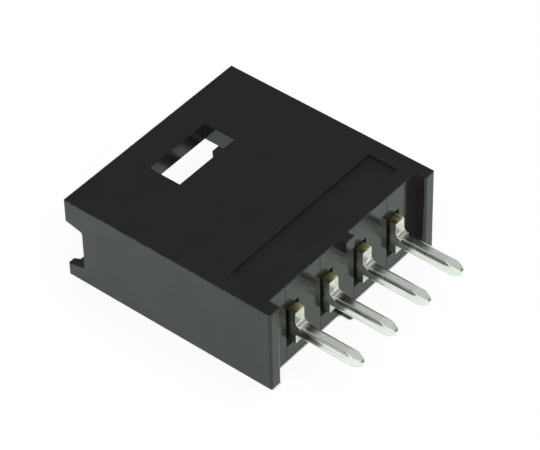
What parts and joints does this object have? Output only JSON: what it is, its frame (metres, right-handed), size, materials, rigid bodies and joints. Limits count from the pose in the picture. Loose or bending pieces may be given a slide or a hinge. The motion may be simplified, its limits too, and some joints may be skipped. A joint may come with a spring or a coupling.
{
  "type": "pin header",
  "caption": "Shrouded pin header for a circuit board: black moulded housing with a latch window and notched rim, a row of square tinned contacts, straight solder tails.",
  "frame": {"origin": "middle of the bounding box along the row and along the contacts, at the outer face of the plain wall", "axes": "+X along the row of contacts, +Y out of the mating end with the solder tails towards -Y, +Z out of the wall with the latch window"},
  "size_m": [0.0124, 0.0162, 0.0049],
  "materials": {
    "housing": "near-black moulded plastic with a satin sheen",
    "contact": "bright tin plating over bronze, bare bronze at the sheared top of the shoulder"
  },
  "bodies": {
    "root": {"housing": "housing", "contact_1": "contact", "contact_2": "contact", "contact_3": "contact", "contact_4": "contact"}
  },
  "joints": []
}
